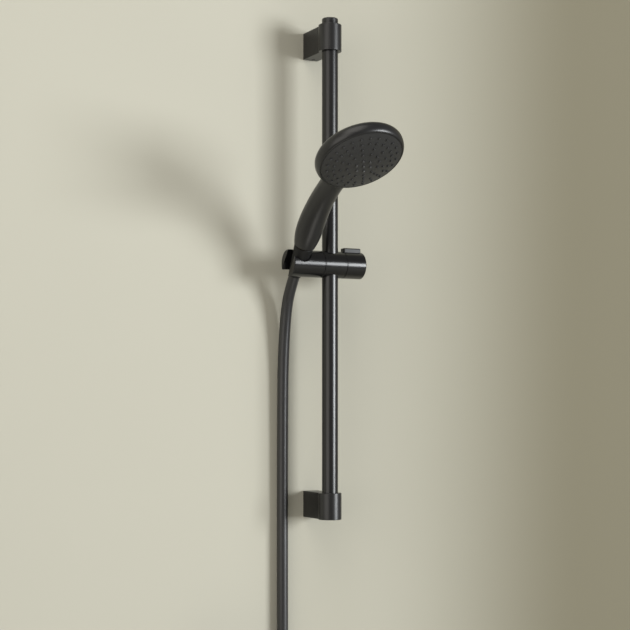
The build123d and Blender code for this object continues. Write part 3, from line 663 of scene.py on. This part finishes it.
def plain_paint(name, tone, see_through):
    """Matt paint of the stage; painted shade darkens the wall to the right, where the room's light falls
    off, and the wall lets the view through from behind.
    """
    finish, tree, shader, coords = start_finish(name)
    patch = noise(tree, coords.outputs["Object"], scale=2.0, detail=3.0)
    patch = between(tree, patch, low=0.3, high=0.7, to_high=0.04)
    colour = blended(tree, patch, tone, WALL_BLOTCH_AND_PAINTED_SHADE_TONE)
    if see_through:
        parts = tree.nodes.new("ShaderNodeSeparateXYZ")
        tree.links.new(coords.outputs["Object"], parts.inputs["Vector"])
        # Painted shade: the wall's colour darkens to the right in two steps along X, standing in for the
        # room's light falling off.
        for painted_falloff in (WALL_PAINTED_FALLOFF, WALL_PAINTED_SHADE):
            colour = blended(tree, between(tree, parts.outputs["X"], *painted_falloff), colour, WALL_BLOTCH_AND_PAINTED_SHADE_TONE)
    tree.links.new(colour, shader.inputs["Base Color"])
    shader.inputs["Roughness"].default_value = 0.9
    shader.inputs["Specular IOR Level"].default_value = 0.1
    if see_through:
        clear = tree.nodes.new("ShaderNodeBsdfTransparent")
        side = tree.nodes.new("ShaderNodeNewGeometry")
        choose = tree.nodes.new("ShaderNodeMixShader")
        tree.links.new(side.outputs["Backfacing"], choose.inputs["Fac"])
        tree.links.new(shader.outputs["BSDF"], choose.inputs[1])
        tree.links.new(clear.outputs["BSDF"], choose.inputs[2])
        tree.links.new(choose.outputs["Shader"], tree.nodes["Material Output"].inputs["Surface"])
    return finish


def stage_sheet(name, corners, finish):
    """Flat sheet of the stage."""
    mesh = bmesh.new()
    mesh.faces.new([mesh.verts.new(corner) for corner in corners])
    sheet = finished_mesh(name, mesh)
    sheet.data.materials.append(finish)


def add_stage():
    """Pale wall behind the set and a pale floor far below it."""
    half = WALL_SIZE / 2
    wall = ((-half, FLOOR_HEIGHT), (half, FLOOR_HEIGHT), (half, half), (-half, half))
    corners = [(x, WALL_BEHIND, z) for x, z in wall]
    stage_sheet("wall", corners, plain_paint("wall_paint_with_painted_shade", WALL_TONE, True))
    floor = ((-half, -WALL_SIZE), (half, -WALL_SIZE), (half, half), (-half, half))
    corners = [(x, y, FLOOR_HEIGHT) for x, y in floor]
    stage_sheet("floor", corners, plain_paint("floor_paint", FLOOR_TONE, False))


def area_light(name, azimuth, rise, distance, size, power, tone, spread=180.0):
    """Soft light that faces the shower, turned from the wall's normal towards +X and raised."""
    data = bpy.data.lights.new(name, "AREA")
    data.shape = "RECTANGLE"
    data.size, data.size_y = size
    data.energy = power
    data.color = tone
    data.spread = math.radians(spread)
    light = bpy.data.objects.new(name, data)
    turn = math.radians(azimuth)
    lift = math.radians(rise)
    way = Vector((math.sin(turn) * math.cos(lift), -math.cos(turn) * math.cos(lift), math.sin(lift)))
    light.location = Vector(LIGHT_AIM) + distance * way
    aim = -way
    light.rotation_euler = aim.to_track_quat("-Z", "Y").to_euler()
    bpy.context.scene.collection.objects.link(light)


def add_light():
    """Window light from the right, weak light from the left, above and below, and an even room."""
    area_light("window", azimuth=37.8, rise=1.8, distance=4.5, size=(1.8, 1.5), power=200, tone=DAY_TONE)
    area_light("room", azimuth=-62, rise=3, distance=3.0, size=(2.4, 2.4), power=29, tone=ROOM_TONE)
    area_light("ceiling", azimuth=-40, rise=48, distance=3.2, size=(2.4, 2.4), power=38, tone=ROOM_TONE)
    area_light(
        "floor_glow",
        azimuth=-20,
        rise=-69,
        distance=1.7,
        size=(0.8, 0.8),
        power=0.24,
        tone=ROOM_TONE,
        spread=50,
    )
    world = bpy.data.worlds.new("room")
    world.use_nodes = True
    sky = world.node_tree.nodes["Background"]
    sky.inputs["Color"].default_value = (*ROOM_TONE, 1)
    sky.inputs["Strength"].default_value = ROOM_STRENGTH
    bpy.context.scene.world = world
    bpy.context.scene.view_settings.view_transform = "Standard"


def add_camera():
    """Camera at the photograph's viewing angle."""
    data = bpy.data.cameras.new("camera")
    data.lens = CAMERA_LENS
    data.sensor_width = CAMERA_SENSOR
    data.sensor_fit = "HORIZONTAL"
    data.shift_y = CAMERA_RISE
    camera = bpy.data.objects.new("camera", data)
    camera.location = CAMERA_PLACE
    camera.rotation_euler = (math.radians(90), 0, math.radians(CAMERA_YAW))
    bpy.context.scene.collection.objects.link(camera)
    bpy.context.scene.camera = camera


def main():
    """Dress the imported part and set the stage."""
    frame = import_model()
    looks = finishes()
    add_camera()
    add_stage()
    add_light()
    dress_nodes(frame, looks)
    face = next(joint for joint in frame["joints"] if joint["name"] == "face_turn")
    add_nozzles(head_frame(face), looks["rubber"], looks["jets"])
    add_brake_spring(looks["steel"])
    line = smooth_line("hose_line", hose_points())
    hose = tube_along("shower_hose", line, HOSE_RADIUS, HOSE_SIDES)
    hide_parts("hose", "hose_coil")
    hose.data.materials.append(looks["hose"])
    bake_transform(hose)


main()
